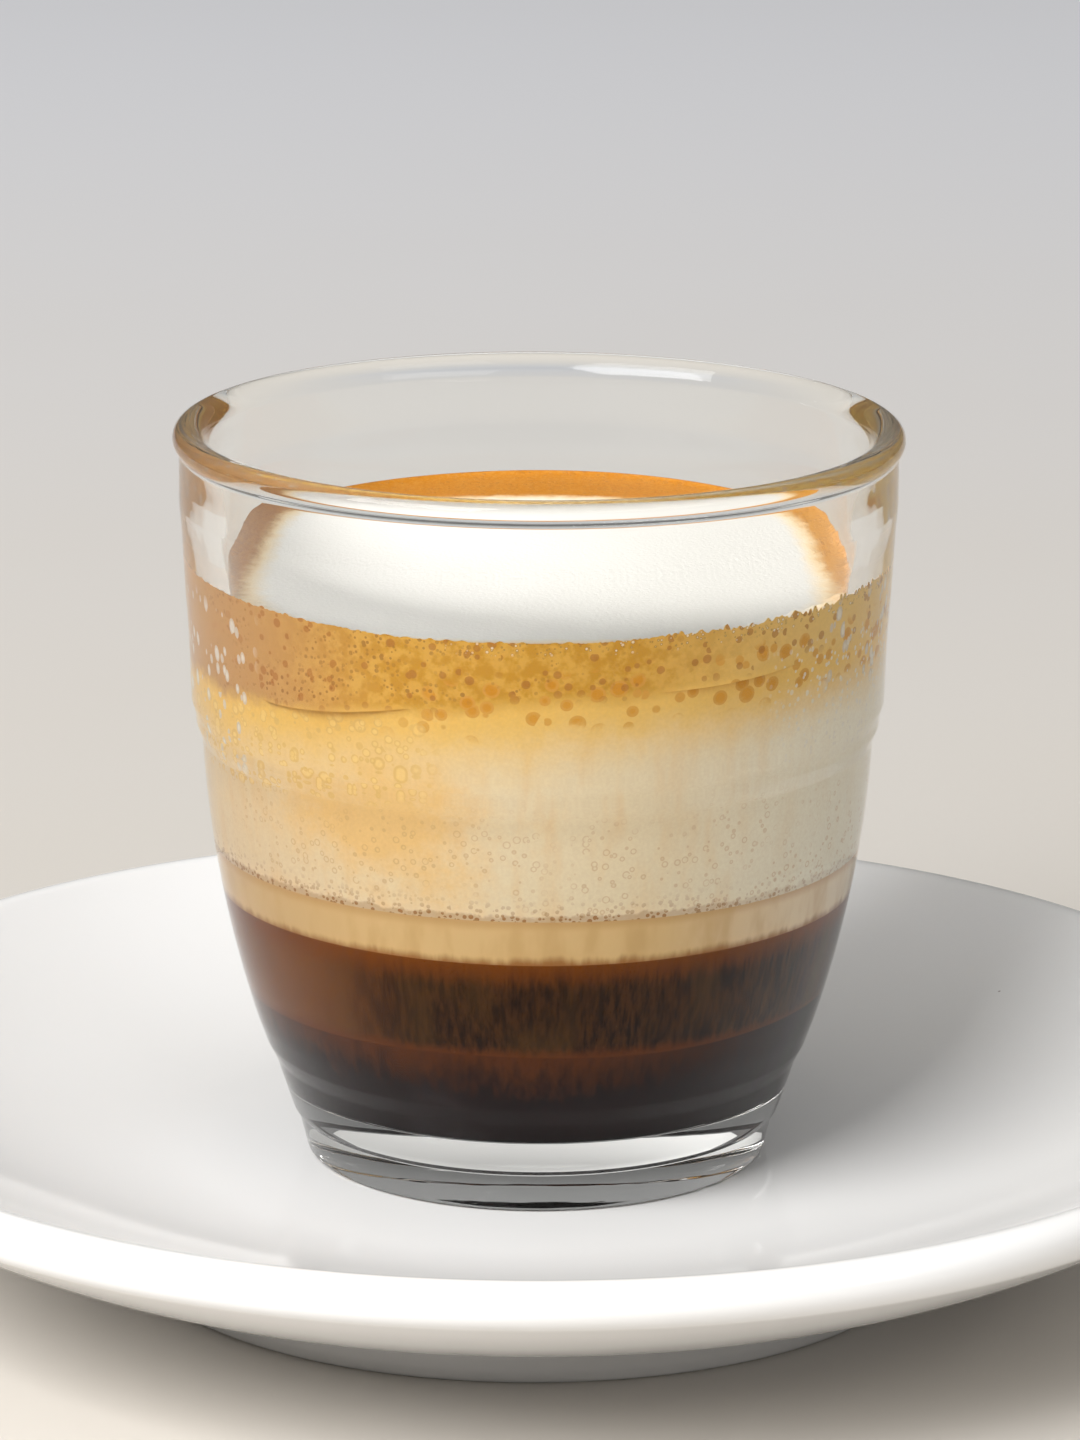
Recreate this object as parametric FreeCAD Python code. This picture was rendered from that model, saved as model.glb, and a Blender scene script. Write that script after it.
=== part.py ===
"""Espresso macchiato: a layered coffee drink in a small stackable pressed glass, on its saucer.

Millimetres, +Z up. The origin is the middle of the saucer's foot, on the table.
Each piece is one solid: the saucer, the glass and the five layers of the drink.
The saucer and the glass are revolved outlines. The drink fills the glass's own
inner outline and is cut into layers by gently uneven surfaces, so that every
layer meets the glass and its neighbours face to face.
"""

import FreeCAD
import Part
import math
import os

# Saucer
SAUCER_RADIUS = 64.6
SAUCER_HEIGHT = 18.9
RIM_ROLL = 2.0  # radius of the rounded rim
WELL_RADIUS = 29.7  # flat middle that the glass stands on
WELL_HEIGHT = 9.65
WELL_THICKNESS = 5.0
FOOT_RADIUS = 34.2  # outer edge of the ring that touches the table
FOOT_WIDTH = 2.6
FOOT_HEIGHT = 4.2  # where the foot's outer wall meets the underside
FOOT_LEAN = 1.1  # how far the foot's walls lean over that height
FOOT_EDGE = 0.5
FOOT_FILLET = 1.2
UNDERSIDE_START = 9.7  # degrees of slope where the underside leaves the foot

# Glass
GLASS_OFF_CENTRE = 0.6  # the glass stands this far to +X on the saucer
MOUTH_RADIUS = 30.5
GLASS_HEIGHT = 62.57
BEAD = 1.05  # radius of the fire-polished bead round the mouth
NECK = (0.52, 4.6)  # like every pair here: in from the mouth, down from the brim
NECK_FILLET = 0.9
UPPER_WALL = ((0.51, 6.3), (0.69, 8.4), (0.83, 11.1), (0.98, 13.9), (1.22, 17.3), (1.34, 20.6))
UPPER_RIBS = (1.4, 23.07)
BELLY_BULGE = 0.8
LOWER_RIBS = (4.24, 11.9)  # out from the base, up from the saucer
RIB_SPACING = 2.0  # from the upper to the lower rib of a pair
UPPER_STEPS = ((0.36, 1.25), (0.52, 1.35))  # how far each rib's chamfer steps in, and its height
LOWER_STEPS = ((0.50, 1.35), (0.78, 1.50))
UPPER_LAND = 0.03  # how far the band between the ribs of a pair leans in
LOWER_LAND = 0.21
RIB_ROUND = 0.4
BASE_RADIUS = 19.5
BASE_HEIGHT = 3.5
BASE_FLARE = 0.85  # how much wider the base is at its top
BASE_INSET = 0.4  # the step below the body that lets the glasses stack
BASE_EDGE = 0.5
CONTACT_WIDTH = 2.2
PUSH_UP = 1.3  # the hollow under the base
FLOOR_THICKNESS = 6.0
LIP_DEPTH = 1.8  # from the brim down to where the lip begins to round over
WALL_LIP = 2.55  # wall thicknesses there, below the mouth, in the belly and above the floor
WALL_TOP = 3.15
WALL_BELLY = 3.35
WALL_FOOT = 3.1

# Drink: layers from the glass's floor up
DARK_LAYER = 8.85
BROWN_LAYER = 8.2
MILK_LAYER = 3.7
HEADROOM = 11.1  # from the surface to the glass's brim
SURFACE_RISE = 1.15  # how much higher than the middle it stands at the back
CREMA_DEPTH = 6.6
CREMA_SLANT = 2.9  # how much deeper than the middle the crema hangs at the left
CREMA_FRONT = 0.7  # width of the crema's ring, from the glass to the white foam
CREMA_BACK = 7.8
CREMA_SIDE = 3.4
FOAM_SPREAD = 1.6  # how much wider the white foam is at the surface than below the crema

GRID = 15  # rows and columns of points that an uneven surface is drawn through


def point(radius, height):
    return FreeCAD.Vector(radius, 0, height)


def line(start, end):
    return Part.LineSegment(point(*start), point(*end)).toShape()


def arc(start, middle, end):
    return Part.Arc(point(*start), point(*middle), point(*end)).toShape()


def on_circle(centre, radius, degrees):
    a = math.radians(degrees)
    return (centre[0] + radius * math.cos(a), centre[1] + radius * math.sin(a))


def arc_on_circle(centre, radius, start, end):
    """The arc of a circle between two angles in degrees, counted from +radius to +height."""
    angles = (start, (start + end) / 2, end)
    return arc(*(on_circle(centre, radius, a) for a in angles))


def curve(points):
    """A smooth curve through these points."""
    spline = Part.BSplineCurve()
    spline.interpolate([point(*p) for p in points])
    return spline.toShape()


def tangent_arc(start, heading, end):
    """An arc from start, leaving at heading, to end. Returns the arc and its heading at end.

    The chord makes half the arc's turn with the heading, so the turn is twice that angle,
    and the middle of the arc stands off the chord by half the chord times tan(turn / 4).
    """
    chord = math.atan2(end[1] - start[1], end[0] - start[0])
    turn = 2 * (chord - heading)
    length = math.hypot(end[0] - start[0], end[1] - start[1])
    rise = -length / 2 * math.tan(turn / 4)
    middle = (
        (start[0] + end[0]) / 2 - rise * math.sin(chord),
        (start[1] + end[1]) / 2 + rise * math.cos(chord),
    )
    return arc(start, middle, end), heading + turn


def round_corners(edges, corners, radius):
    """Rounds an outline at each of these corners, where two of its edges meet."""
    plane = Part.Plane(FreeCAD.Vector(0, 0, 0), FreeCAD.Vector(0, -1, 0))
    for corner in corners:
        at = point(*corner)
        meet = [
            any(vertex.Point.distanceToPoint(at) < 1e-6 for vertex in edge.Vertexes)
            for edge in edges
        ]
        first, second = (edge for edge, found in zip(edges, meet) if found)
        fillet = Part.ChFi2d.FilletAlgo(first, second, plane)
        fillet.perform(radius)
        edges = [edge for edge, found in zip(edges, meet) if not found]
        edges += fillet.result(at)
    return edges


def revolve(edges, x=0.0, z=0.0):
    """Turns a closed outline about the Z axis and puts the solid at x, z."""
    wire = Part.Wire(Part.__sortEdges__(edges))
    face = Part.Face(wire)
    solid = face.revolve(FreeCAD.Vector(0, 0, 0), FreeCAD.Vector(0, 0, 1), 360)
    if solid.Volume < 0:
        solid.reverse()
    solid.translate(FreeCAD.Vector(x, 0, z))
    return solid


def saucer():
    """A dish whose inside and underside are single arcs that run into a rounded rim."""
    roll = (SAUCER_RADIUS - RIM_ROLL, SAUCER_HEIGHT - RIM_ROLL)

    # The inside arc starts level at the well's edge and touches the rim's roll.
    run = roll[0] - WELL_RADIUS
    rise = roll[1] - WELL_HEIGHT
    inside = (run**2 + rise**2 - RIM_ROLL**2) / (2 * (RIM_ROLL + rise))
    inside_centre = (WELL_RADIUS, WELL_HEIGHT + inside)
    inside_turn = math.degrees(math.atan2(inside - rise, run))

    # The underside arc leaves the foot at its own slope and holds the rim's roll.
    slope = math.radians(UNDERSIDE_START)
    start = (FOOT_RADIUS + FOOT_LEAN, FOOT_HEIGHT)
    run = roll[0] - start[0]
    rise = roll[1] - start[1]
    under = (run**2 + rise**2 - RIM_ROLL**2) / (
        2 * (rise * math.cos(slope) - run * math.sin(slope) - RIM_ROLL)
    )
    under_centre = (
        start[0] - under * math.sin(slope),
        start[1] + under * math.cos(slope),
    )
    under_turn = math.degrees(
        math.atan2(under_centre[1] - roll[1], roll[0] - under_centre[0])
    )

    foot_inner = FOOT_RADIUS - FOOT_WIDTH
    ceiling = WELL_HEIGHT - WELL_THICKNESS
    inner_corner = (foot_inner - FOOT_LEAN, ceiling)
    outline = [
        line((0, ceiling), inner_corner),
        line(inner_corner, (foot_inner, 0)),
        line((foot_inner, 0), (FOOT_RADIUS, 0)),
        line((FOOT_RADIUS, 0), start),
        arc_on_circle(under_centre, under, UNDERSIDE_START - 90, -under_turn),
        arc_on_circle(roll, RIM_ROLL, -under_turn, 0),
        arc_on_circle(roll, RIM_ROLL, 0, 180 - inside_turn),
        arc_on_circle(inside_centre, inside, -inside_turn, -90),
        line((WELL_RADIUS, WELL_HEIGHT), (0, WELL_HEIGHT)),
        line((0, WELL_HEIGHT), (0, ceiling)),
    ]
    outline = round_corners(outline, [(FOOT_RADIUS, 0), (foot_inner, 0)], FOOT_EDGE)
    return revolve(round_corners(outline, [start, inner_corner], FOOT_FILLET))


def from_mouth(inset, depth):
    return (MOUTH_RADIUS - inset, GLASS_HEIGHT - depth)


def ribs(top, steps, land):
    """The four corners of a pair of ribs, from the top down. A rib is a crisp edge above
    a chamfer, and the band between the two ribs leans in a little."""
    (upper_in, upper_drop), (lower_in, lower_drop) = steps
    second = (top[0] - upper_in - land, top[1] - RIB_SPACING)
    return (
        top,
        (top[0] - upper_in, top[1] - upper_drop),
        second,
        (second[0] - lower_in, second[1] - lower_drop),
    )


def outer_wall():
    """The corners of the upper pair of ribs, the belly's middle, and the lower corners."""
    upper = ribs(from_mouth(*UPPER_RIBS), UPPER_STEPS, UPPER_LAND)
    lower_top = (BASE_RADIUS + LOWER_RIBS[0], LOWER_RIBS[1])
    lower = ribs(lower_top, LOWER_STEPS, LOWER_LAND)
    high, low = upper[3], lower[0]
    along = math.atan2(high[1] - low[1], high[0] - low[0])
    belly = (
        (high[0] + low[0]) / 2 + BELLY_BULGE * math.sin(along),
        (high[1] + low[1]) / 2 - BELLY_BULGE * math.cos(along),
    )
    return upper, belly, lower


def inner_wall():
    """The glass's inner outline from the middle of its floor up to the bead, as edges,
    with the last point and its place on the bead in degrees. Its arcs run into each other."""
    _, belly, lower = outer_wall()
    wall = from_mouth(*UPPER_WALL[2])
    lip = from_mouth(NECK[0] + WALL_LIP, LIP_DEPTH)
    high = (wall[0] - WALL_TOP, wall[1])
    low = (belly[0] - WALL_BELLY, belly[1])
    foot = (lower[1][0] - WALL_FOOT, lower[1][1])
    up = math.atan2(lip[1] - high[1], lip[0] - high[0])
    inner_belly, heading = tangent_arc(high, up - math.pi, low)
    side, heading = tangent_arc(low, heading, foot)

    # From the inner foot a last arc turns level into the floor.
    turn = heading + math.pi
    corner = (foot[1] - FLOOR_THICKNESS) / (1 - math.cos(turn))
    floor_radius = foot[0] - corner * math.sin(turn)
    corner_centre = (floor_radius, FLOOR_THICKNESS + corner)

    # The lip rounds over until it touches the bead.
    bead_centre = from_mouth(BEAD, BEAD)
    touch_angle = 90.0
    for _ in range(60):
        _, heading = tangent_arc(lip, up, on_circle(bead_centre, BEAD, touch_angle))
        touch_angle = (touch_angle + 90 + math.degrees(heading)) / 2
    touch = on_circle(bead_centre, BEAD, touch_angle)
    rounded_lip, _ = tangent_arc(lip, up, touch)
    edges = [
        line((0, FLOOR_THICKNESS), (floor_radius, FLOOR_THICKNESS)),
        arc_on_circle(corner_centre, corner, -90, math.degrees(turn) - 90),
        side,
        inner_belly,
        line(high, lip),
        rounded_lip,
    ]
    return edges, touch, touch_angle


def glass():
    """A pressed tumbler: beaded mouth, two pairs of stacking ribs, bellied wall, heavy base."""
    inner, _, mouth_angle = inner_wall()
    upper, belly, lower = outer_wall()
    neck = from_mouth(*NECK)
    wall = [neck, *(from_mouth(*place) for place in UPPER_WALL), upper[0]]
    base = (BASE_RADIUS, 0)
    base_top = (BASE_RADIUS + BASE_FLARE, BASE_HEIGHT)
    body_foot = (base_top[0] + BASE_INSET, BASE_HEIGHT + BASE_INSET)
    contact = (BASE_RADIUS - CONTACT_WIDTH, 0)

    # The neck's fillet touches the top of the wall and the bead from outside.
    bead_centre = from_mouth(BEAD, BEAD)
    across = neck[0] + NECK_FILLET - bead_centre[0]
    drop = math.sqrt((BEAD + NECK_FILLET) ** 2 - across**2)
    fillet_centre = (neck[0] + NECK_FILLET, bead_centre[1] - drop)
    bead_start = -math.degrees(math.atan2(drop, across))

    outline = [
        arc((0, PUSH_UP), (contact[0] / 2, PUSH_UP * 0.77), contact),
        line(contact, base),
        line(base, base_top),
        line(base_top, body_foot),
        line(body_foot, lower[3]),
        line(lower[3], lower[2]),
        line(lower[2], lower[1]),
        line(lower[1], lower[0]),
        arc(lower[0], belly, upper[3]),
        line(upper[3], upper[2]),
        line(upper[2], upper[1]),
        line(upper[1], upper[0]),
        curve(wall),
        line(neck, (neck[0], fillet_centre[1])),
        arc_on_circle(fillet_centre, NECK_FILLET, 180, 180 + bead_start),
        arc_on_circle(bead_centre, BEAD, bead_start, mouth_angle),
        *inner,
        line((0, FLOOR_THICKNESS), (0, PUSH_UP)),
    ]
    corners = [*upper, *lower, body_foot, base_top]
    outline = round_corners(outline, corners, RIB_ROUND)
    outline = round_corners(outline, [base], BASE_EDGE)
    return revolve(outline, GLASS_OFF_CENTRE, WELL_HEIGHT)


def above(height):
    """Everything over an uneven surface, height(u, v), as a block. u and v run from -1 to 1
    across the mouth of the glass, towards +X and +Y."""
    steps = [2 * i / (GRID - 1) - 1 for i in range(GRID)]
    grid = [
        [
            FreeCAD.Vector(
                GLASS_OFF_CENTRE + u * MOUTH_RADIUS,
                v * MOUTH_RADIUS,
                WELL_HEIGHT + height(u, v),
            )
            for v in steps
        ]
        for u in steps
    ]
    surface = Part.BSplineSurface()
    surface.interpolate(grid)
    return surface.toShape().extrude(FreeCAD.Vector(0, 0, GLASS_HEIGHT))


def ripple(u, v, waves, shift):
    """A smooth unevenness between about -1 and 1, from three crossing waves."""
    return (
        math.sin(waves * u + shift)
        + math.sin(waves * 0.8 * v - 2 * shift)
        + math.sin(waves * 0.6 * (u + v) + 3 * shift)
    ) / 3


def top_surface(u, v):
    """The foam stands higher towards the back, and climbs a little where it meets the glass."""
    fill = GLASS_HEIGHT - HEADROOM
    return fill + SURFACE_RISE * v + 0.15 * ripple(u, v, 5.0, 0.7)


def crema_floor(u, v):
    """The crema hangs lowest on the left and thins towards the right and the front."""
    floor = GLASS_HEIGHT - HEADROOM - CREMA_DEPTH
    slant = CREMA_SLANT * u * (1 - 0.4 * u)
    return floor + slant - 1.0 * v + 0.5 * ripple(u, v, 7.0, 1.9)


def foam_column():
    """The white foam that came up through the crema: a loft of uneven closed curves,
    nearer to the front of the glass than to the back."""
    inside = from_mouth(*UPPER_WALL[2])[0] - WALL_TOP
    forward = (CREMA_BACK - CREMA_FRONT) / 2
    deep = inside - (CREMA_BACK + CREMA_FRONT) / 2
    wide = inside - CREMA_SIDE
    fill = GLASS_HEIGHT - HEADROOM
    sections = []
    for share, height in ((0, fill - 2 * CREMA_DEPTH), (0.5, fill - CREMA_DEPTH), (1, GLASS_HEIGHT)):
        inset = FOAM_SPREAD * (1 - share)
        around = []
        for i in range(24):
            a = 2 * math.pi * i / 24
            wave = 0.22 * math.sin(5 * a + 1.0 + share) + 0.16 * math.sin(9 * a + 2.3)
            around.append(
                FreeCAD.Vector(
                    GLASS_OFF_CENTRE + (wide - inset + wave) * math.cos(a),
                    (deep - inset + wave) * math.sin(a) - forward,
                    WELL_HEIGHT + height,
                )
            )
        ring = Part.BSplineCurve()
        ring.interpolate(around, PeriodicFlag=True)
        sections.append(Part.Wire(ring.toShape()))
    return Part.makeLoft(sections, True, False)


def drink():
    """The layers from the bottom up, as node name and solid."""
    inner, mouth, _ = inner_wall()
    brim = line(mouth, (0, mouth[1]))
    middle = line((0, mouth[1]), (0, FLOOR_THICKNESS))
    filling = revolve([*inner, brim, middle], GLASS_OFF_CENTRE, WELL_HEIGHT)
    rest = filling.cut(above(top_surface))
    layers = {}
    top = FLOOR_THICKNESS
    for name, thickness, waves, size in (
        ("espresso", DARK_LAYER, 6.0, 0.35),
        ("coffee", BROWN_LAYER, 4.0, 0.12),
        ("milk", MILK_LAYER, 5.0, 0.12),
    ):
        top += thickness
        over = above(lambda u, v: top + size * ripple(u, v, waves, top))
        layers[name] = rest.cut(over)
        rest = rest.common(over)
    layers["crema"] = rest.common(above(crema_floor)).cut(foam_column())
    layers["foam"] = rest.cut(layers["crema"])
    return layers


def main():
    pieces = {"saucer": saucer(), "glass": glass(), **drink()}
    os.makedirs("parts", exist_ok=True)
    for name, shape in pieces.items():
        solids = shape.Solids
        if len(solids) != 1 or not solids[0].isValid():
            raise ValueError(f"{name} has {len(solids)} solids, or is not valid")
        solids[0].exportStep(f"parts/{name}.step")
        box = solids[0].optimalBoundingBox()
        print(
            f"{name:9s} {solids[0].Volume / 1000:7.2f} ml"
            f"  z {box.ZMin:6.2f} to {box.ZMax:6.2f}  width {box.XLength:6.2f}"
        )


main()
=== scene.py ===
"""Looks for the espresso macchiato: a pressed glass with a layered coffee, on a white saucer.

The glass, the saucer and each layer of the drink are grids of points worked out as whole
arrays: an outline carried round the glass's axis, with the drink's uneven levels, bubbles
and grain added as functions of place. Lengths in the shape functions are millimetres from
the middle of the glass's base, and every piece is put in metres at the end.
"""

import math

import bpy
import numpy as np
from mathutils import Matrix, Vector


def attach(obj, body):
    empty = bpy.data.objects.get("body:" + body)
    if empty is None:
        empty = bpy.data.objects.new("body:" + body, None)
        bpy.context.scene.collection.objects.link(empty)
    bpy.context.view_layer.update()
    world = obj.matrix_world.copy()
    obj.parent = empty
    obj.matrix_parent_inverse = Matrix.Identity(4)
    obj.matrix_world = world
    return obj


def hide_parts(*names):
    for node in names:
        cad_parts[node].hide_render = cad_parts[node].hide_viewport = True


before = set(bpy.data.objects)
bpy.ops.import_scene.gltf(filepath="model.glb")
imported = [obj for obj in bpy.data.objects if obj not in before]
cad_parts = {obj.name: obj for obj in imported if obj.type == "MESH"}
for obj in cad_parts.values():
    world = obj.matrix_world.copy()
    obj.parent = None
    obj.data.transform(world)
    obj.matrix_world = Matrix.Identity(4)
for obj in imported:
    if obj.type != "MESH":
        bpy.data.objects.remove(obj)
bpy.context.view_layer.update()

MM = 0.001

# the glass
GLASS_X = 0.6  # how far its axis stands from the saucer's
GLASS_Z = 9.65  # the saucer's well, which it stands on
MOUTH = 30.5  # the mouth's outer radius
BRIM = 62.57  # the height of its mouth
BEAD = 1.05  # the radius of the bead round the mouth
FLOOR, FLOOR_RADIUS = 6.0, 13.62
NECK = MOUTH - 0.52  # the wall's radius under the bead

# the drink's levels, above the glass's base
DARK_TOP = 14.85
COFFEE_TOP = 23.05
MILK_TOP = 26.75
CREMA_EDGE = 45.3  # where the crema ends at the front
FILL = 51.47
SKIN = 0.05  # how far the drink reaches into the glass's wall
WHITE_WIDE, WHITE_DEEP, WHITE_FRONT = 23.2, 22.0, 3.8  # the white top's half-axes and shift
WHITE_POWER = 2.7  # 2 would be an ellipse

# the saucer
RIM_X, RIM_Z, RIM_ROLL = 62.6, 16.9, 2.0  # the rolled rim's centre and its radius

# rows and columns of the grids
GLASS_ROWS, GLASS_COLUMNS = 262, 360
SAUCER_ROWS, SAUCER_COLUMNS = 190, 480
LAYER_COLUMNS, LAYER_WALL_ROWS, LAYER_LID_ROWS = 360, 24, 16
FLAT_ROWS = 8  # on a lower face of which only the edge shows
FOAM_COLUMNS, FOAM_WALL_ROWS, FOAM_CAP_ROWS = 720, 52, 44
CREMA_COLUMNS, CREMA_WALL_ROWS, CREMA_TOP_ROWS = 900, 60, 25
HIDDEN_ROWS = 5  # between the white column and the crema
CORNER_ROW = 0.002  # how near to a corner its supporting row lies, as a share of the side
CREASE = math.radians(50)  # edges sharper than this stay sharp in the shading

# the room and its lamps, in metres and watts
ROOM_LOW, ROOM_HIGH = 0.15, 0.6  # the sines of elevation between which the room brightens
ROOM_DIM, ROOM_BRIGHT = 0.14, 0.64
ROOM_SEEN = 0.7  # how bright the room is where the camera sees it
ROOM_TINT = (1.0, 0.99, 0.975, 1)
WINDOW_AT = (-0.95, -1.05, 1.2)
WINDOW_SIZE = (1.3, 1.0)
WINDOW_POWER = 52.0
FRONT_AT = (0.9, -1.2, 0.8)
FRONT_SIZE = (1.1, 0.6)
FRONT_POWER = 5.0
LAMP_AIM = (0, 0, 0.04)
LAMP_TINT = (1.0, 0.995, 0.99)
LIGHT_TURNS, LIGHT_REFLECTIONS = 32, 24  # how often light may turn or be reflected

# the camera and the table, in metres, degrees and, for the lens, millimetres
CAMERA_AT = (0.0008, -0.5392, 0.188)
CAMERA_DOWN, CAMERA_ROLL = 14.69, 0.3
CAMERA_LENS, CAMERA_SENSOR = 165.6, 36
TABLE_SIDE, TABLE_FRONT, TABLE_BACK = 6, -3, 9

BUMP_STRENGTH = 0.5


# ---------------------------------------------------------------- shapes


def arc(start, end, bulge, steps=60):
    """A circular arc from start to end whose middle stands bulge to the left of the chord.

    With chord length c, its radius is (c^2 / 4 + bulge^2) / (2 bulge), and its points turn
    evenly about the centre.
    """
    start, end = np.array(start, float), np.array(end, float)
    chord = end - start
    length = np.hypot(*chord)
    left = np.array([-chord[1], chord[0]]) / length
    radius = (length**2 / 4 + bulge**2) / (2 * bulge)
    centre = (start + end) / 2 + left * (bulge - radius)
    a, b = start - centre, end - centre
    first = math.atan2(a[1], a[0])
    turn = math.atan2(a[0] * b[1] - a[1] * b[0], a @ b)
    angle = first + turn * np.linspace(0, 1, steps)
    return centre + abs(radius) * np.stack([np.cos(angle), np.sin(angle)], 1)


def bead_arc(start, end, steps=60):
    """The bead round the mouth, between two angles in degrees about its own centre."""
    a = np.radians(np.linspace(start, end, steps))
    return np.stack([MOUTH - BEAD + BEAD * np.cos(a), BRIM - BEAD + BEAD * np.sin(a)], 1)


def smooth_outline(points, rounding, rows):
    """An outline with its corners rounded by a running mean over its length, and rows points
    placed closer where it turns: their spacing follows length / long plus turn / bend."""
    step, long, bend = 0.02, 1.1, math.radians(5)
    points = np.concatenate([np.atleast_2d(p) for p in points])
    s = np.concatenate([[0], np.cumsum(np.hypot(*np.diff(points, axis=0).T))])
    keep = np.concatenate([[True], np.diff(s) > 1e-6])
    even = np.arange(0, s[-1], step)
    dense = np.stack([np.interp(even, s[keep], points[keep, i]) for i in (0, 1)], 1)
    width = int(rounding / step) | 1
    padded = np.pad(dense, ((width // 2, width // 2), (0, 0)), mode="edge")
    total = np.cumsum(np.vstack([[0, 0], padded]), axis=0)
    soft = (total[width:] - total[:-width]) / width
    soft[0], soft[-1] = points[0], points[-1]
    heading = np.unwrap(np.arctan2(*np.diff(soft, axis=0).T[::-1]))
    turn = np.concatenate([[0], np.abs(np.diff(heading)), [0]])
    share = np.cumsum(step / long + turn / bend)
    at = np.linspace(share[0], share[-1], rows)
    return np.stack([np.interp(at, share, soft[:, i]) for i in (0, 1)], 1)


def glass_inner():
    """The glass's inner outline from the floor's middle up to the bead."""
    foot, low, high, lip = (20.14, 10.55), (23.4, 23.88), (26.52, 51.47), (27.43, 60.77)
    corner = arc((FLOOR_RADIUS, FLOOR), foot, -1.25)
    side = arc(foot, low, -0.386)
    belly = arc(low, high, -0.104)
    touch = bead_arc(87.9, 87.9, 1)[0]
    return [(0, FLOOR), corner, side, belly, lip, arc(lip, touch, 0.541)]


def glass_outline():
    """The whole outline, from the middle of the base round the outside, the bead and the
    inside to the middle of the floor."""
    base = [arc((0, 0.5), (17.3, 0), 0.12), (19.1, 0), (19.5, 0.2), (20.35, 3.5), (20.75, 3.9)]
    low_ribs = [(22.25, 8.4), (23.03, 9.9), (23.24, 10.55), (23.74, 11.9)]
    belly = [arc((23.74, 11.9), (28.19, 36.15), -0.8)[1:]]
    high_ribs = [(28.71, 37.5), (28.74, 38.25), (29.1, 39.5)]
    wall = [
        (29.16, 41.97),
        (29.28, 45.27),
        (29.52, 48.67),
        (29.67, 51.47),
        (29.81, 54.17),
        (29.99, 56.27),
        (NECK, BRIM - 4.6),
    ]
    neck = [(NECK, 60.19), arc((NECK, 60.19), (30.22, 60.81), 0.07, 12)[1:]]
    bead = [bead_arc(-42.8, 87.9)]
    inside = [np.atleast_2d(p)[::-1] for p in glass_inner()[::-1]]
    return base + low_ribs + belly + high_ribs + wall + neck + bead + inside


INNER = np.concatenate([np.atleast_2d(p) for p in glass_inner()])


def wall_radius(height):
    """The radius of the drink's side at each height: the glass's inner wall plus the skin."""
    return np.interp(height, INNER[1:, 1], INNER[1:, 0]) + SKIN


def waves(x, y, count, shift):
    """The mean of three crossing sine waves, of count radians to the mouth's radius and
    less, between -1 and 1."""
    u, v = x / MOUTH, y / MOUTH
    return (
        np.sin(count * u + shift)
        + np.sin(count * 0.8 * v - 2 * shift)
        + np.sin(count * 0.6 * (u + v) + 3 * shift)
    ) / 3


def lumps(along, seed, size, many=24):
    """Smooth random lumps about 1 high: the sum of many waves sin(k along + phase), where k
    is 2 pi / wavelength times the cosine of the wave's heading, over sqrt(many / 2). The
    wavelengths are near size."""
    rng = np.random.default_rng(seed)
    total = np.zeros(along.shape)
    for heading, wavelength, phase in zip(
        rng.uniform(0, 2 * np.pi, many),
        size * rng.uniform(0.6, 1.6, many),
        rng.uniform(0, 2 * np.pi, many),
    ):
        k = 2 * np.pi / wavelength * math.cos(heading)
        total += np.sin(k * along + phase)
    return total / math.sqrt(many / 2)


def level(top, count, size):
    """A layer's upper level as a function of x and y: top plus size times the waves."""
    return lambda x, y: top + size * waves(x, y, count, top)


def surface_height(x, y):
    """The top of the foam: a slope that is higher at the back, plus a low swell that falls
    as 1 - (r / edge)^2, plus a climb up the glass that grows as e^(r / 0.9), plus froth."""
    edge = 27.0
    r = np.hypot(x, y)
    slope = FILL - 0.3 + 1.15 * y / MOUTH + 0.12 * waves(x, y, 5.0, 0.7)
    swell = 0.25 * (1 - (r / edge) ** 2) * (1 + 0.4 * waves(x, y, 4.0, 2.0))
    climb = 0.45 * np.exp((r - 26.8) / 0.9)
    return slope + climb + swell + froth(x, y)


def froth(x, y):
    """Bubbles that ride up the glass: lumps along the wall, times a share that rises to the
    right past x = 11 and falls to the back past y = 3 as 1 / (1 + e^t), times a bell
    e^(-t^2) across the last half millimetre to the wall."""
    rim = 26.45
    along = 26.5 * np.arctan2(y, x)
    small = np.abs(lumps(along, 3, 1.0)) ** 0.8
    broad = lumps(along, 8, 9.0)
    share = (0.09 + 0.26 / (1 + np.exp((11 - x) / 2.5))) / (1 + np.exp((y - 3) / 2.0))
    near = np.exp(-(((rim - np.hypot(x, y)) / 0.5) ** 2))
    return near * share * (small - 0.5 + 0.35 * broad)


def crema_floor(x, y):
    """Where the crema ends below: a curved slope, lowest on the left and highest on the
    right and at the front, plus waves half a millimetre high."""
    u = x / MOUTH
    return 44.87 + 2.9 * u * (1 - 0.4 * u) - y / MOUTH + 0.5 * waves(x, y, 7.0, 1.9)


def column_radius(angle, share):
    """The edge of the white foam's column, as a distance r from the glass's axis: a rounded
    oval with half-axes w and d whose middle stands f in front of the axis. With
    g = |r cos a / w|^n + |(r sin a + f) / d|^n, repeating r = r g^(-1/n) brings g to 1.
    A slow wave is added."""
    inset = 1.6 * (1 - share)
    w, d, n = WHITE_WIDE - inset, WHITE_DEEP - inset, WHITE_POWER
    c, s = np.cos(angle), np.sin(angle)
    r = np.full(angle.shape, 20.0)
    for _ in range(40):
        g = np.abs(r * c / w) ** n + np.abs((r * s + WHITE_FRONT) / d) ** n
        r = r * g ** (-1 / n)
    return r + 0.16 * np.sin(5 * angle + 1 + share) + 0.1 * np.sin(9 * angle + 2.3)


def column_ends(angle):
    """The column's radius where it starts, on the crema's floor, and at its top, which stays
    clear of the glass."""
    clear = wall_radius(50.0) - 0.6
    return column_radius(angle, 0.5), np.minimum(column_radius(angle, 1.0), clear)


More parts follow.
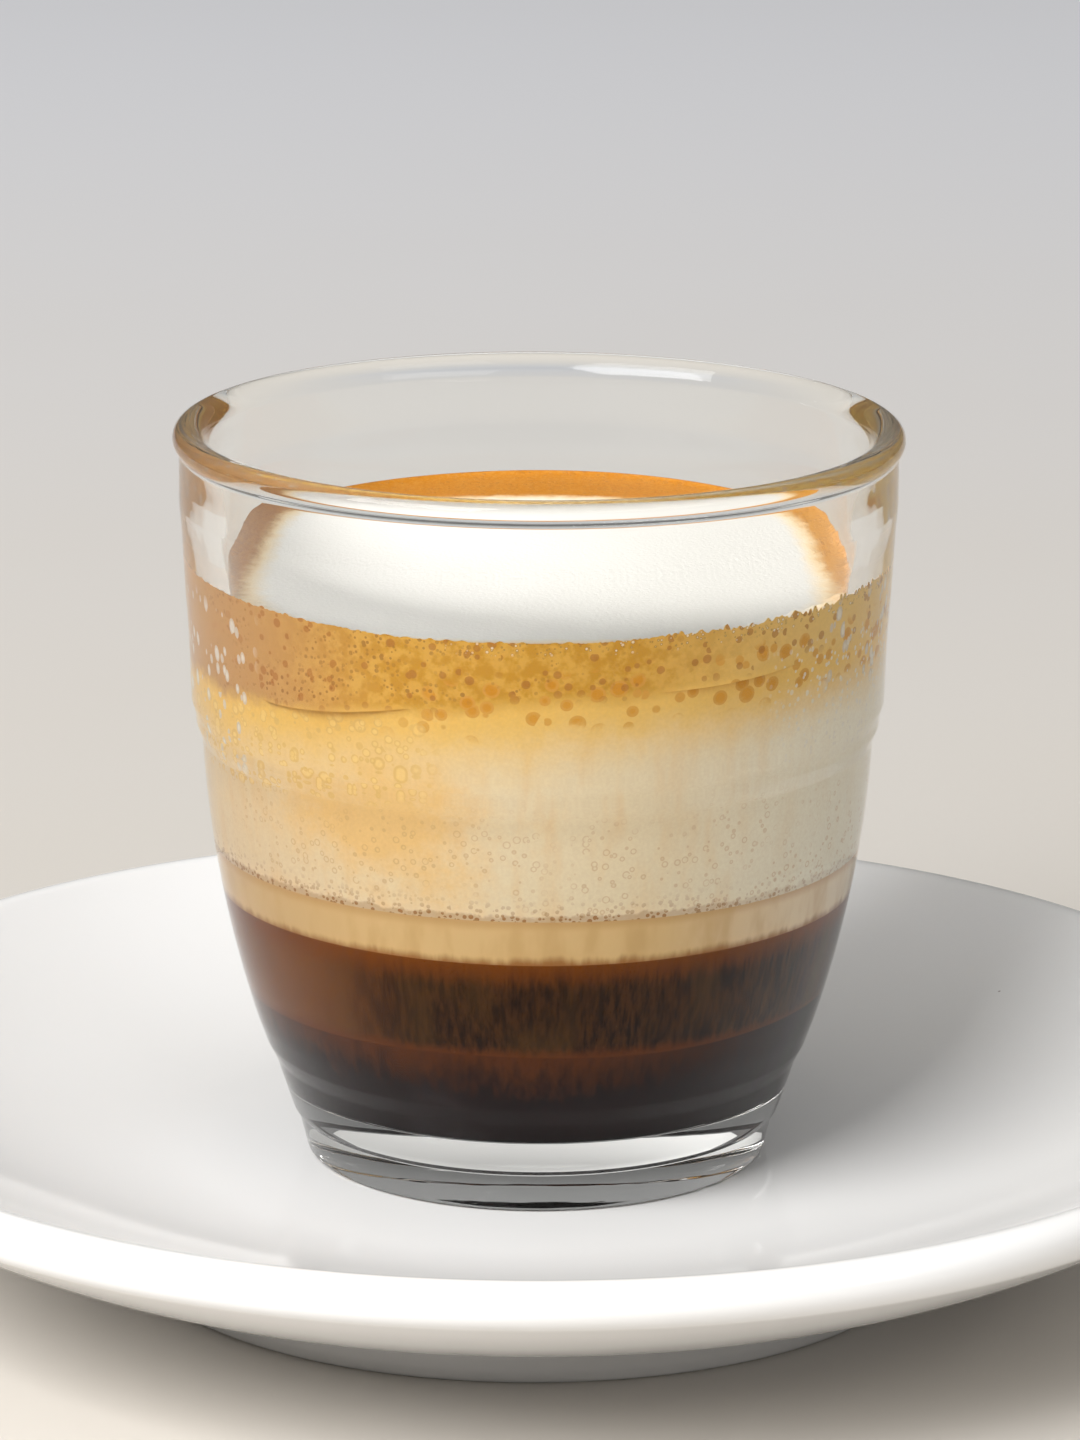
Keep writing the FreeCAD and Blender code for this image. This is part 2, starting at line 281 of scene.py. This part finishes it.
def turned(r, angle, z):
    """Points at radius r, angle a and height z: (r cos a, r sin a, z)."""
    return np.stack([r * np.cos(angle), r * np.sin(angle), z + 0 * angle], -1)


def lying(r, angle, height):
    """Points at radius r and angle a that lie on height(x, y)."""
    return turned(r, angle, height(r * np.cos(angle), r * np.sin(angle)))


def straight(start, end, shares):
    """Rows at shares of the way from one ring of points to another."""
    return start + shares[..., None] * (end - start)


def make_piece(name, rows, nodes, materials, ring=False, top_rows=None):
    """Puts a grid of points, rows x columns x 3 in millimetres about the glass's base, into a
    mesh. The columns close round the axis. In a ring the last row joins the first, and
    otherwise the first and last rows close at a point each. The rows of faces between the
    two in top_rows take the second material, and so does the fan that closes the top."""
    columns = rows.shape[1]
    if ring:
        points = rows.reshape(-1, 3)
        index = np.arange(len(points)).reshape(-1, columns)
        index = np.vstack([index, index[:1]])
    else:
        points = np.concatenate([rows[1:-1].reshape(-1, 3), rows[[0, -1]].mean(1)])
        index = np.arange(len(points) - 2).reshape(-1, columns)
    a, b = index[:-1], index[1:]
    faces = [np.stack([a, np.roll(a, -1, 1), np.roll(b, -1, 1), b], -1).reshape(-1, 4)]
    if not ring:
        low, high = index[0], index[-1]
        first, last = np.full(columns, len(points) - 2), np.full(columns, len(points) - 1)
        faces.append(np.stack([first, np.roll(low, -1), low], -1))
        faces.append(np.stack([high, np.roll(high, -1), last], -1))
    sizes = np.concatenate([np.full(len(f), f.shape[1]) for f in faces])
    starts = np.concatenate([[0], np.cumsum(sizes)[:-1]])
    corners = np.concatenate([f.ravel() for f in faces])
    place = (points + np.array([GLASS_X, 0, GLASS_Z])) * MM

    mesh = bpy.data.meshes.new(name)
    mesh.vertices.add(len(points))
    mesh.vertices.foreach_set("co", place.astype(np.float32).ravel())
    mesh.loops.add(len(corners))
    mesh.loops.foreach_set("vertex_index", corners.astype(np.int32))
    mesh.polygons.add(len(sizes))
    mesh.polygons.foreach_set("loop_start", starts.astype(np.int32))
    mesh.polygons.foreach_set("use_smooth", np.ones(len(sizes), bool))
    for material in materials:
        mesh.materials.append(material)
    if top_rows is not None:
        row = np.repeat(np.arange(len(a)), columns)
        is_top = (row >= top_rows[0]) & (row < top_rows[1])
        if not ring:
            is_top = np.concatenate([is_top, np.zeros(columns, bool), np.ones(columns, bool)])
        mesh.polygons.foreach_set("material_index", is_top.astype(np.int32))
    mesh.update(calc_edges=True)
    mesh.validate()
    mesh.set_sharp_from_angle(angle=CREASE)

    piece = bpy.data.objects.new(name, mesh)
    bpy.context.scene.collection.objects.link(piece)
    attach(piece, "root")
    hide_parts(*nodes)
    return piece


def all_round(columns):
    """The columns' angles, even round the axis."""
    return np.linspace(0, 2 * np.pi, columns, endpoint=False)


def turn(outline, columns):
    """Carries an outline of (radius, height) round the axis."""
    return turned(outline[:, :1], all_round(columns), outline[:, 1:])


# ---------------------------------------------------------------- materials


class Socket:
    """A shader value that adds its Math nodes when Python works on it."""

    def __init__(self, nodes, link):
        self.nodes, self.link = nodes, link

    def _math(self, operation, a, b=None):
        values = {0: a} if b is None else {0: a, 1: b}
        return self.nodes.node("ShaderNodeMath", {"operation": operation}, values)

    def __add__(self, other):
        return self._math("ADD", self, other)

    def __radd__(self, other):
        return self._math("ADD", other, self)

    def __sub__(self, other):
        return self._math("SUBTRACT", self, other)

    def __rsub__(self, other):
        return self._math("SUBTRACT", other, self)

    def __mul__(self, other):
        return self._math("MULTIPLY", self, other)

    def __rmul__(self, other):
        return self._math("MULTIPLY", other, self)

    def __truediv__(self, other):
        return self._math("DIVIDE", self, other)

    def __pow__(self, other):
        return self._math("POWER", self, other)

    def abs(self):
        return self._math("ABSOLUTE", self)

    def sqrt(self):
        return self._math("SQRT", self)


class Nodes:
    """A node tree and short ways to add nodes to it."""

    def __init__(self, tree):
        self.tree = tree

    def node(self, kind, settings=None, values=None, output=0):
        """A new node with its settings, then the values or links of its sockets. Gives the
        output that is asked for."""
        made = self.tree.nodes.new(kind)
        for key, value in (settings or {}).items():
            setattr(made, key, value)
        for key, value in (values or {}).items():
            if isinstance(value, Socket):
                self.tree.links.new(value.link, made.inputs[key])
            else:
                made.inputs[key].default_value = value
        return Socket(self, made.outputs[output])

    def place(self):
        """Object coordinates in millimetres from the middle of the glass's base."""
        coords = self.node("ShaderNodeTexCoord", output="Object")
        values = {"Vector": coords, "Location": (-GLASS_X, 0, -GLASS_Z), "Scale": (1 / MM,) * 3}
        return self.node("ShaderNodeMapping", None, values)

    def axis(self, vector, name):
        return self.node("ShaderNodeSeparateXYZ", None, {0: vector}, name)

    def scaled(self, vector, scale):
        return self.node("ShaderNodeMapping", None, {"Vector": vector, "Scale": scale})

    def noise(self, vector, scale, detail=2.0, roughness=0.5):
        values = {"Vector": vector, "Scale": scale, "Detail": detail, "Roughness": roughness}
        return self.node("ShaderNodeTexNoise", None, values)

    def cells(self, vector, scale):
        """The distance to the nearest point of a Voronoi pattern."""
        values = {"Vector": vector, "Scale": scale}
        return self.node("ShaderNodeTexVoronoi", None, values, "Distance")

    def bubbles(self, vector, scale, least, most):
        """Round spots in a Voronoi pattern, each of its own radius between least and most of
        a cell: where they are, their outline, and a random number for each."""
        softness = 0.05
        away = self.cells(vector, scale)
        draw = self.axis(Socket(self, away.link.node.outputs["Color"]), "X")
        radius = least + (most - least) * draw
        inside = self.step(away - radius, softness, 0.0)
        core = self.step(away - radius, -softness, -3 * softness)
        return inside, inside * (1 - core), draw

    def band(self, value, low, high, softness):
        """1 between low and high, falling to 0 over softness on either side."""
        rise = self.step(value, low - softness, low)
        return rise * self.step(value, high + softness, high)

    def step(self, value, low, high):
        """0 at low, 1 at high, smooth between."""
        values = {"Value": value, "From Min": low, "From Max": high}
        return self.node("ShaderNodeMapRange", {"interpolation_type": "SMOOTHSTEP"}, values)

    def mix(self, factor, a, b):
        """A colour between a and b. Sockets 6 and 7 are the Mix node's colours."""
        a, b = ((*c, 1) if isinstance(c, tuple) else c for c in (a, b))
        return self.node("ShaderNodeMix", {"data_type": "RGBA"}, {0: factor, 6: a, 7: b}, 2)


class Material(Nodes):
    """A node material with one Principled shader, whose constants are given by socket."""

    def __init__(self, name, constants):
        self.data = bpy.data.materials.new(name)
        self.data.use_nodes = True
        super().__init__(self.data.node_tree)
        self.shader = self.tree.nodes["Principled BSDF"]
        for key, value in constants.items():
            self.shader.inputs[key].default_value = value

    def feed(self, name, value):
        self.tree.links.new(value.link, self.shader.inputs[name])

    def colour(self, value):
        self.feed("Base Color", value)

    def bump(self, height, distance):
        """Bumps of height times distance, in millimetres."""
        values = {"Height": height, "Distance": distance * MM, "Strength": BUMP_STRENGTH}
        self.feed("Normal", self.node("ShaderNodeBump", None, values))


def srgb(red, green, blue):
    """A colour written as 0 to 255, as linear light."""
    return tuple(
        c / 12.92 if c <= 0.04045 else ((c + 0.055) / 1.055) ** 2.4
        for c in (red / 255, green / 255, blue / 255)
    )


def porcelain():
    """White glaze with a faint warm cast here and there, a rare small speck, and a surface
    that is slightly uneven in gloss and height."""
    m = Material("porcelain", {"Roughness": 0.09})
    p = m.place()
    tone = m.mix(m.noise(p, 0.03, 1.0), srgb(229, 229, 229), srgb(224, 223, 221))
    specks = m.step(m.cells(p, 0.09), 0.022, 0.014)
    rare = m.step(m.noise(p, 0.05), 0.55, 0.6)
    m.colour(m.mix(specks * rare * 0.7, tone, srgb(110, 95, 80)))
    m.feed("Roughness", 0.07 + 0.06 * m.noise(p, 0.2, 3.0))
    m.bump(m.noise(p, 0.12, 1.0), 0.03)
    return m.data


def clear_glass():
    """Clear glass with a trace of green, softened reflections and the slow waves of a
    pressed surface."""
    constants = {
        "Base Color": (0.985, 0.995, 0.985, 1),
        "Roughness": 0.0,
        "IOR": 1.51,
        "Transmission Weight": 1.0,
        "Specular Tint": (0.3, 0.3, 0.3, 1),
    }
    m = Material("clear glass", constants)
    m.bump(m.noise(m.scaled(m.place(), (1, 1, 0.5)), 0.35, 1.0), 0.02)
    return m.data


def drink_material(name, roughness=0.6):
    """A material for what is seen through the glass, with no gloss of its own, and its
    place."""
    m = Material(name, {"Roughness": roughness, "Specular IOR Level": 0.0})
    return m, m.place()


def dark_coffee():
    """Near-black coffee with orange-brown feathers hanging into it from above."""
    m, p = drink_material("dark coffee")
    x, z = m.axis(p, "X"), m.axis(p, "Z")
    feather = m.noise(m.scaled(p, (1, 1, 0.07)), 1.6, 4.0, 0.6)
    broad = m.noise(p, 0.16, 2.0)
    hang = z + 5.0 * (feather - 0.5) + 3.0 * (broad - 0.5)
    rise = m.step(hang, DARK_TOP - 4.2, DARK_TOP + 0.3) * m.step(x, 22, 4)
    m.colour(m.mix(rise, srgb(27, 11, 10), srgb(88, 44, 12)))
    return m.data


def brown_coffee():
    """Dark olive-brown coffee in fine upright streaks, orange-brown at its two edges."""
    m, p = drink_material("brown coffee")
    x, z = m.axis(p, "X"), m.axis(p, "Z")
    streak = m.noise(m.scaled(p, (1, 1, 0.06)), 1.9, 5.0, 0.65)
    broad = m.noise(m.scaled(p, (1, 1, 0.3)), 0.22, 2.0)
    base = m.mix(m.step(streak, 0.36, 0.66), srgb(34, 15, 3), srgb(74, 42, 12))
    base = m.mix(m.step(broad, 0.4, 0.7) * 0.6, base, srgb(84, 56, 20))
    # lighter towards the left: painted light on the side turned to the window
    base = m.mix(m.step(x, -9, -20) * 0.8, base, srgb(132, 78, 32))
    top = m.step(z + 1.6 * (streak - 0.5), COFFEE_TOP - 2.6, COFFEE_TOP + 0.2)
    low = m.step(z - 1.2 * (streak - 0.5), DARK_TOP + 1.0, DARK_TOP - 0.2)
    base = m.mix(top, base, srgb(120, 62, 8))
    m.colour(m.mix(low * 0.8, base, srgb(104, 52, 14)))
    return m.data


def milk_band():
    """Cream-coloured milk, brown where the coffee stains it from below."""
    m, p = drink_material("milk band")
    x, z = m.axis(p, "X"), m.axis(p, "Z")
    wisp = m.noise(m.scaled(p, (1, 1, 0.3)), 0.5, 3.0) - 0.5
    streak = m.noise(m.scaled(p, (1, 1, 0.1)), 1.4, 3.0, 0.6) - 0.5
    # paler and brighter towards the right: a paler tone there plus painted fill light on the
    # side turned from the lamps
    base = m.mix(m.step(x, 8, 24), srgb(226, 192, 136), srgb(246, 226, 196))
    base = m.mix(m.step(x, -10, -22), base, srgb(216, 182, 130))
    base = m.mix(m.step(wisp, -0.1, 0.2) * 0.5, base, srgb(206, 166, 108))
    low = m.step(z - 0.9 * wisp - 0.8 * streak, COFFEE_TOP + 0.8, COFFEE_TOP - 0.1)
    base = m.mix(low * 0.85, base, srgb(150, 92, 36))
    top = m.step(z - 0.6 * wisp, MILK_TOP - 0.9, MILK_TOP)
    m.colour(m.mix(top * 0.55, base, srgb(196, 146, 92)))
    return m.data


def foam_side(name):
    """The drink's side above the milk, seen through the glass: a brown line of fine bubbles
    at the bottom, ivory foam with an amber stain, an amber glow, then golden crema with
    bubbles of many sizes."""
    m, p = drink_material(name, 0.5)
    x, y, z = (m.axis(p, axis) for axis in "XYZ")
    cloud = m.noise(p, 0.12, 3.0) - 0.5
    fine = m.noise(p, 0.9, 3.0, 0.6) - 0.5
    grain = m.noise(p, 3.5, 2.0, 0.6) - 0.5
    left, right = m.step(x, -10, -24), m.step(x, 6, 24)

    # ivory foam, stained amber at the lower left, paler and brighter on the right: a paler tone
    # there plus painted fill light on the side turned from the lamps
    ivory = m.mix(left, srgb(244, 228, 194), srgb(238, 214, 174))
    ivory = m.mix(right, ivory, srgb(255, 249, 230))
    spread = ((x + 11) * (x + 11) / 90 + (z - 34) * (z - 34) / 40).sqrt()
    stain = m.step(spread + 1.6 * cloud + 0.5 * fine, 1.3, 0.3)
    ivory = m.mix(stain * 0.85, ivory, srgb(246, 202, 126))
    flow = m.step(m.noise(m.scaled(p, (1, 1, 0.25)), 0.5, 3.0), 0.45, 0.75)
    ivory = m.mix(flow * (0.35 - 0.28 * right), ivory, srgb(236, 196, 134))

    # the crema's lower edge, lowest on the left, with an amber glow under it
    slant = 0.095 * x - 0.0013 * x * x
    above = z - CREMA_EDGE - slant + 3.0 * cloud + 1.6 * fine
    glow = m.mix(m.step(above, -7.5, -0.6), ivory, srgb(248, 204, 112))
    crema = m.mix(m.step(fine, -0.12, 0.12), srgb(212, 156, 52), srgb(230, 178, 80))
    crema = m.mix(left, crema, srgb(206, 158, 104))
    # paler and brighter crema on the right: a paler tone there plus painted fill light on the
    # side turned from the lamps
    crema = m.mix(right, crema, srgb(244, 206, 128))
    tone = m.mix(m.step(above, -0.9, 0.9), glow, crema)

    # large amber bubbles along that edge, pale outlined ones under it on the left
    edge_zone = m.band(above, -1.6, 1.6, 1.0) * m.step(x, -14, -6)
    spot, rim, draw = m.bubbles(p, 0.62, 0.18, 0.46)
    keep = edge_zone * m.step(draw, 0.15, 0.2)
    tone = m.mix(spot * keep * 0.8, tone, srgb(222, 150, 38))
    tone = m.mix(rim * keep * 0.4, tone, srgb(232, 182, 100))
    pale_zone = m.band(above, -7.0, -1.2, 1.0) * m.step(x, -6, -11)
    for scale, least in ((0.68, 0.2), (1.15, 0.16)):
        spot, rim, draw = m.bubbles(p, scale, least, 0.44)
        keep = pale_zone * m.step(draw, 0.25, 0.3)
        tone = m.mix(spot * keep * 0.6, tone, srgb(252, 218, 140))
        tone = m.mix(rim * keep * 0.3, tone, srgb(206, 150, 66))

    # fine dark pinholes in the crema, and a froth right under the contact line whose shiny
    # bubbles get painted highlights
    spot, _, _ = m.bubbles(p, 2.1, 0.12, 0.4)
    patch = m.step(cloud + 0.5 * fine, -0.12, 0.1) * m.step(above, 0.2, 1.5)
    keep = patch * m.step(x, 10, -2) * m.step(x, -27, -22)
    tone = m.mix(spot * keep * 0.62, tone, srgb(150, 92, 44))
    spot, _, draw = m.bubbles(p, 1.15, 0.14, 0.42)
    keep = m.step(above, -0.5, 1.2) * m.step(draw, 0.55, 0.62) * m.step(x, -26, -20)
    tone = m.mix(spot * keep * 0.6, tone, srgb(178, 108, 50))
    under_line = FILL + 0.1 + 0.038 * y - z
    spot, rim, draw = m.bubbles(p, 2.6, 0.15, 0.42)
    froth = m.band(under_line, -0.6, 0.7, 0.6) * m.step(x, -9, -3)
    tone = m.mix(rim * froth * 0.55, tone, srgb(160, 116, 66))
    # painted highlights: near-white glints inside the froth's bubbles
    tone = m.mix((spot - rim) * froth * m.step(draw, 0.4, 0.6) * 0.75, tone, srgb(252, 240, 220))

    # pale oval bubbles against the glass, near both edges
    tall = m.scaled(p, (1, 1, 0.62))
    spot, rim, draw = m.bubbles(tall, 0.95, 0.1, 0.42)
    at_left = m.step(x, -21.2, -22.4) * m.band(z, 37.5, 48.5, 2.0)
    at_right = m.step(x, 21.4, 22.6) * m.band(z, 43.5, 50.0, 1.5)
    keep = (at_left + at_right) * m.step(draw, 0.3, 0.36)
    tone = m.mix(spot * keep * 0.85, tone, srgb(240, 234, 224))
    tone = m.mix(rim * keep * 0.35, tone, srgb(190, 160, 120))
    spot, _, draw = m.bubbles(m.scaled(p, (1, 1, 0.8)), 1.9, 0.1, 0.36)
    keep = m.step(x, 16.5, 20.5) * m.band(z, 39, 47, 2.0) * m.step(draw, 0.35, 0.45)
    tone = m.mix(spot * keep * 0.7, tone, srgb(244, 238, 226))

    # faint bubbles low in the foam, and the dotted brown line where it meets the milk
    _, rim, _ = m.bubbles(p, 1.3, 0.12, 0.4)
    low = m.step(z, 39, 32) * m.step(cloud, -0.12, 0.05)
    tone = m.mix(rim * low * 0.4, tone, srgb(204, 160, 104))
    dots, _, draw = m.bubbles(p, 2.4, 0.2, 0.5)
    line = m.band(z - 1.2 * fine, MILK_TOP - 0.2, MILK_TOP + 0.35, 0.35) * (1 - 0.6 * right)
    tone = m.mix(line * (0.45 + 0.5 * dots), tone, srgb(166, 118, 72))
    sparse = m.step(z, MILK_TOP + 2.6, MILK_TOP + 0.3) * m.step(draw, 0.5, 0.6)
    tone = m.mix(sparse * (1 - 0.7 * right) * dots * 0.5, tone, srgb(176, 126, 78))
    m.colour(m.mix(m.step(grain, -0.3, 0.3) * 0.12, tone, srgb(180, 140, 90)))
    return m.data


def foam_top():
    """The drink's upper surface: smooth white foam with the crema round it. The two part
    where reach, (|x / w|^n + |(y + f) / d|^n)^(1/n) for the white column's half-axes and
    shift, is 1, with some grain added to that line."""
    m = Material("foam top", {"Roughness": 0.5, "Specular IOR Level": 0.35})
    p = m.place()
    x, y = m.axis(p, "X"), m.axis(p, "Y")
    fine = m.noise(p, 0.7, 4.0, 0.6) - 0.5
    grain = m.noise(p, 3.0, 3.0, 0.6)
    wide, deep = x.abs() / WHITE_WIDE, (y + WHITE_FRONT).abs() / WHITE_DEEP
    reach = (wide**WHITE_POWER + deep**WHITE_POWER) ** (1 / WHITE_POWER)
    mean_radius = (WHITE_WIDE + WHITE_DEEP) / 2
    out = (reach - 1) * mean_radius + 1.6 * fine
    white = m.mix(m.step(x, -12, 16), srgb(242, 239, 234), srgb(226, 223, 217))
    white = m.mix(m.noise(p, 0.1, 2.0) * 0.3, white, srgb(228, 224, 216))
    tan = m.mix(m.step(x, -16, 14), srgb(174, 122, 78), srgb(198, 134, 42))
    gold = m.mix(m.step(y, 6, 17), tan, srgb(190, 118, 6))
    gold = m.mix(m.step(grain, 0.4, 0.65) * 0.25, gold, srgb(218, 166, 88))
    halo = m.mix(m.step(out, -1.6, 0.6), white, srgb(240, 214, 170))
    tone = m.mix(m.step(out, -0.2, 1.4), halo, gold)
    spot, rim, draw = m.bubbles(p, 1.7, 0.15, 0.42)
    keep = m.step(out, 0.0, 1.0) * m.step(draw, 0.4, 0.5)
    m.colour(m.mix(rim * keep * 0.5, tone, srgb(170, 112, 52)))
    m.bump(grain + 1.5 * spot * keep, 0.12)
    return m.data


def table_top():
    """A plain pale table, warmer and faintly mottled near the saucer."""
    m = Material("table top", {"Roughness": 0.4})
    p = m.place()
    far = m.step(m.axis(p, "Y"), 50, 700)
    tone = m.mix(far, srgb(207, 202, 195), srgb(220, 221, 225))
    m.colour(m.mix(m.noise(p, 0.02, 4.0) * (1 - far) * 0.25, tone, srgb(205, 196, 182)))
    return m.data


# ---------------------------------------------------------------- pieces


def glass():
    """The glass's outline, turned round its axis."""
    rows = turn(smooth_outline(glass_outline(), 0.22, GLASS_ROWS), GLASS_COLUMNS)
    return make_piece("glass_body", rows, ["glass"], [clear_glass()])


def saucer_rim():
    """The rolled rim, an arc about its own centre."""
    a = np.radians(np.linspace(121, -62, 50))
    return np.stack([RIM_X + RIM_ROLL * np.cos(a), RIM_Z + RIM_ROLL * np.sin(a)], 1)


def saucer():
    """The saucer's outline: its well, the rising inside, the rolled rim, the underside and
    the foot, turned about its own axis."""
    outline = [
        (0, GLASS_Z),
        (29.7, GLASS_Z),
        arc((29.7, GLASS_Z), (61.56, 18.6), -2.2)[1:],
        saucer_rim(),
        arc((63.5, 15.1), (35.3, 4.2), 1.6)[1:],
        (34.6, 1.2),
        (34.2, 0.3),
        (33.9, 0),
        (31.9, 0),
        (31.6, 0.3),
        (30.6, 4.2),
        (30.1, 4.65),
        (0, 4.65),
    ]
    rows = turn(smooth_outline(outline, 0.4, SAUCER_ROWS)[::-1], SAUCER_COLUMNS)
    rows = rows - np.array([GLASS_X, 0, GLASS_Z])
    return make_piece("saucer_glazed", rows, ["saucer"], [porcelain()])


def steps_with_ends(steps):
    """Even steps from 0 to 1 with one more close to each end, so that smooth shading keeps
    the corners there crisp."""
    ends = [CORNER_ROW, 1 - CORNER_ROW]
    return np.sort(np.append(np.linspace(0, 1, steps), ends))[:, None]


def disc(angles, radius, height, steps):
    """Rows from the axis out to radius(angle), lying on height(x, y)."""
    t = np.sort(np.append(np.linspace(0, 1, steps), 1 - CORNER_ROW))[:, None]
    return lying(t * radius, angles, height)


def wall_edge(angles, height):
    """Where a level meets the wall: its radius and height, found by repeating
    r = wall(height(r cos a, r sin a)) six times."""
    r = np.full(angles.shape, 24.0)
    for _ in range(6):
        z = height(r * np.cos(angles), r * np.sin(angles))
        r = wall_radius(z)
    return r, z


def side(angles, low, high, steps):
    """Rows up the wall between two heights."""
    z = low + steps_with_ends(steps - 2) * (high - low)
    return turned(wall_radius(z), angles, z)


def layer(name, node, lower, upper, material):
    """One layer of the drink, between two levels or between the glass's floor and a level:
    a disc on the lower one, the wall, and a disc on the upper one."""
    a = all_round(LAYER_COLUMNS)
    top_r, top_z = wall_edge(a, upper)
    if lower is None:
        low_r = np.full(LAYER_COLUMNS, FLOOR_RADIUS)
        bottom = disc(a, low_r, lambda x, y: FLOOR - SKIN + 0 * x, FLAT_ROWS)
        wall = side(a, FLOOR, top_z, LAYER_WALL_ROWS)
    else:
        low_r, low_z = wall_edge(a, lower)
        bottom = disc(a, low_r, lower, LAYER_LID_ROWS)
        wall = side(a, low_z, top_z, LAYER_WALL_ROWS)[1:]
    lid = disc(a, top_r, upper, LAYER_LID_ROWS)[::-1][1:]
    grid = np.concatenate([bottom, wall, lid])
    return make_piece(name, grid, [node], [material])


def foam(milk_level, materials):
    """The foam: a disc on the milk, the wall up to the crema, the shelf under the crema, the
    white column through it, and the column's top."""
    a = all_round(FOAM_COLUMNS)
    low_r, low_z = wall_edge(a, milk_level)
    high_r, high_z = wall_edge(a, crema_floor)
    column_low, column_top = column_ends(a)
    bottom = disc(a, low_r, milk_level, FLAT_ROWS)
    wall = side(a, low_z, high_z, FOAM_WALL_ROWS)[1:]
    t = np.linspace(0, 1, HIDDEN_ROWS)[1:, None]
    shelf = lying(high_r + t * (column_low - high_r), a, crema_floor)
    rim = lying(column_top, a, surface_height)
    column = straight(shelf[-1], rim, steps_with_ends(HIDDEN_ROWS)[1:])
    cap = disc(a, column_top, surface_height, FOAM_CAP_ROWS)[::-1][1:]
    grid = np.concatenate([bottom, wall, shelf, column, cap])
    first = len(grid) - len(cap) - 2
    return make_piece(
        "milk_foam", grid, ["foam"], materials, top_rows=(first, len(grid))
    )


def crema(materials):
    """The crema, a ring: the wall, the top from the wall to the white column, the column's
    side, and the crema's floor back to the wall."""
    a = all_round(CREMA_COLUMNS)
    low_r, low_z = wall_edge(a, crema_floor)
    high_r, high_z = wall_edge(a, surface_height)
    column_low, column_top = column_ends(a)
    wall = side(a, low_z, high_z, CREMA_WALL_ROWS)
    t = steps_with_ends(CREMA_TOP_ROWS - 1)[1:]
    top = lying(high_r + t * (column_top - high_r), a, surface_height)
    foot = lying(column_low, a, crema_floor)
    down = straight(top[-1], foot, steps_with_ends(HIDDEN_ROWS)[1:])
    t = np.linspace(0, 1, HIDDEN_ROWS)[1:-1, None]
    under = lying(column_low + t * (low_r - column_low), a, crema_floor)
    grid = np.concatenate([wall, top, down, under])
    top_rows = (CREMA_WALL_ROWS - 1, CREMA_WALL_ROWS - 1 + CREMA_TOP_ROWS)
    return make_piece(
        "crema_ring", grid, ["crema"], materials, ring=True, top_rows=top_rows
    )


# ---------------------------------------------------------------- surroundings


def table():
    """A flat rectangle at height 0, far larger than the saucer."""
    corners = [
        (-TABLE_SIDE, TABLE_FRONT, 0),
        (TABLE_SIDE, TABLE_FRONT, 0),
        (TABLE_SIDE, TABLE_BACK, 0),
        (-TABLE_SIDE, TABLE_BACK, 0),
    ]
    mesh = bpy.data.meshes.new("table")
    mesh.from_pydata(corners, [], [(0, 1, 2, 3)])
    mesh.materials.append(table_top())
    floor = bpy.data.objects.new("table", mesh)
    bpy.context.scene.collection.objects.link(floor)


def lamp(name, place, size, power):
    """A soft rectangular lamp that faces the glass."""
    light = bpy.data.lights.new(name, "AREA")
    light.shape, light.size, light.size_y = "RECTANGLE", *size
    light.energy, light.color = power, LAMP_TINT
    made = bpy.data.objects.new(name, light)
    bpy.context.scene.collection.objects.link(made)
    facing = (Vector(LAMP_AIM) - Vector(place)).to_track_quat("-Z", "Y")
    made.matrix_world = Matrix.Translation(place) @ facing.to_matrix().to_4x4()


def deep_glass():
    """Lets light turn often enough inside the thick rim: with fewer turns the ends of the
    rim go black."""
    paths = bpy.context.scene.cycles
    paths.max_bounces = paths.transmission_bounces = LIGHT_TURNS
    paths.glossy_bounces = LIGHT_REFLECTIONS


def studio():
    """A soft room, bright overhead and dim round the horizon, brighter at the front left
    than at the back right, with a wide window at the front left and a weak panel at the
    front right. Seen straight on, the room is a plain pale grey."""
    world = bpy.data.worlds.new("studio")
    world.use_nodes = True
    room = Nodes(world.node_tree)
    heading = room.node("ShaderNodeTexCoord", output="Generated")
    right, back, up = (room.axis(heading, axis) for axis in "XYZ")
    glow = room.step(up, ROOM_LOW, ROOM_HIGH)
    front = room.step(back + 0.5 * right, 0.7, -0.5)
    strength = ROOM_DIM + glow * (0.3 + 0.7 * front) * (ROOM_BRIGHT - ROOM_DIM)
    seen = room.node("ShaderNodeLightPath", output="Is Camera Ray")
    strength = strength + seen * (ROOM_SEEN - strength)
    background = room.tree.nodes["Background"]
    background.inputs["Color"].default_value = ROOM_TINT
    room.tree.links.new(strength.link, background.inputs["Strength"])
    bpy.context.scene.world = world
    lamp("window", WINDOW_AT, WINDOW_SIZE, WINDOW_POWER)
    lamp("front panel", FRONT_AT, FRONT_SIZE, FRONT_POWER)


def camera():
    """The camera, which looks to the back and down by CAMERA_DOWN, and leans by
    CAMERA_ROLL."""
    data = bpy.data.cameras.new("camera")
    data.sensor_width = data.sensor_height = CAMERA_SENSOR
    data.lens = CAMERA_LENS
    data.clip_start = 0.01
    made = bpy.data.objects.new("camera", data)
    bpy.context.scene.collection.objects.link(made)
    tilt = Matrix.Rotation(math.radians(90 - CAMERA_DOWN), 4, "X")
    roll = Matrix.Rotation(math.radians(CAMERA_ROLL), 4, "Z")
    made.matrix_world = Matrix.Translation(CAMERA_AT) @ tilt @ roll
    bpy.context.scene.camera = made


bpy.context.scene.view_settings.view_transform = "Standard"
deep_glass()
camera()
studio()
table()
glass()
saucer()
dark_level = level(DARK_TOP, 6.0, 0.35)
coffee_level = level(COFFEE_TOP, 4.0, 0.12)
milk_level = level(MILK_TOP, 5.0, 0.12)
layer("dark_espresso", "espresso", None, dark_level, dark_coffee())
layer("brown_coffee", "coffee", dark_level, coffee_level, brown_coffee())
layer("milk_layer", "milk", coffee_level, milk_level, milk_band())
top_material = foam_top()
foam(milk_level, [foam_side("foam side"), top_material])
crema([foam_side("crema side"), top_material])
